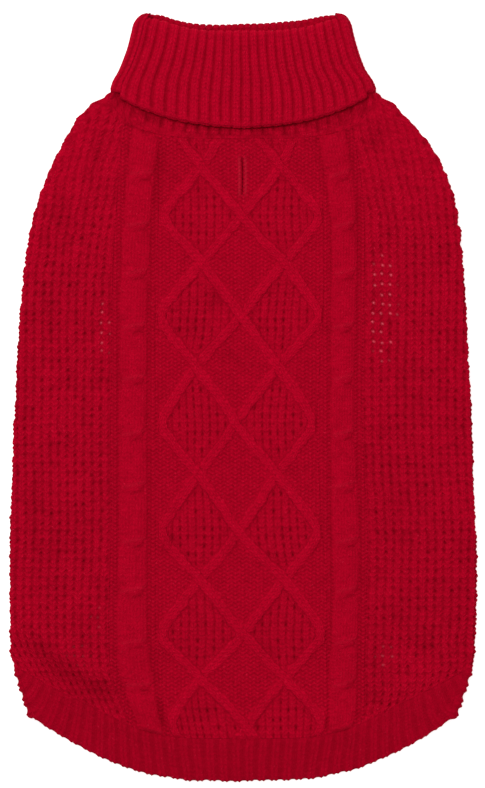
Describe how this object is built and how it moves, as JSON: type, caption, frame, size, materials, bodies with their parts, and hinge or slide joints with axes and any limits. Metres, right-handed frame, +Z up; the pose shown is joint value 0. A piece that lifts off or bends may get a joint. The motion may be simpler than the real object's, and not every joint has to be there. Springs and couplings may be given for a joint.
{
  "type": "dog sweater",
  "caption": "Roll-neck dog sweater in cable knit, laid flat with its back up: rope cables, travelling-strand diamonds, ribbed collar and hem, leg openings underneath.",
  "frame": {"origin": "centre of the laid sweater's length and width, on the surface that it lies on", "axes": "+Y from the hem to the neck, +Z up out of the back, +X to the right as seen from above with the neck at the top"},
  "size_m": [0.2806, 0.4608, 0.0141],
  "materials": {
    "cable_knit": "soft matt red acrylic yarn, cable and waffle knit",
    "plain_knit": "soft matt red acrylic yarn, plain knit",
    "collar_rib": "soft matt red acrylic yarn, one by one rib",
    "hem_rib": "soft matt red acrylic yarn, two by one rib"
  },
  "bodies": {
    "root": {"back_panel": "cable_knit", "belly_panel": "plain_knit", "collar": "collar_rib", "hem_band": "hem_rib"}
  },
  "joints": []
}
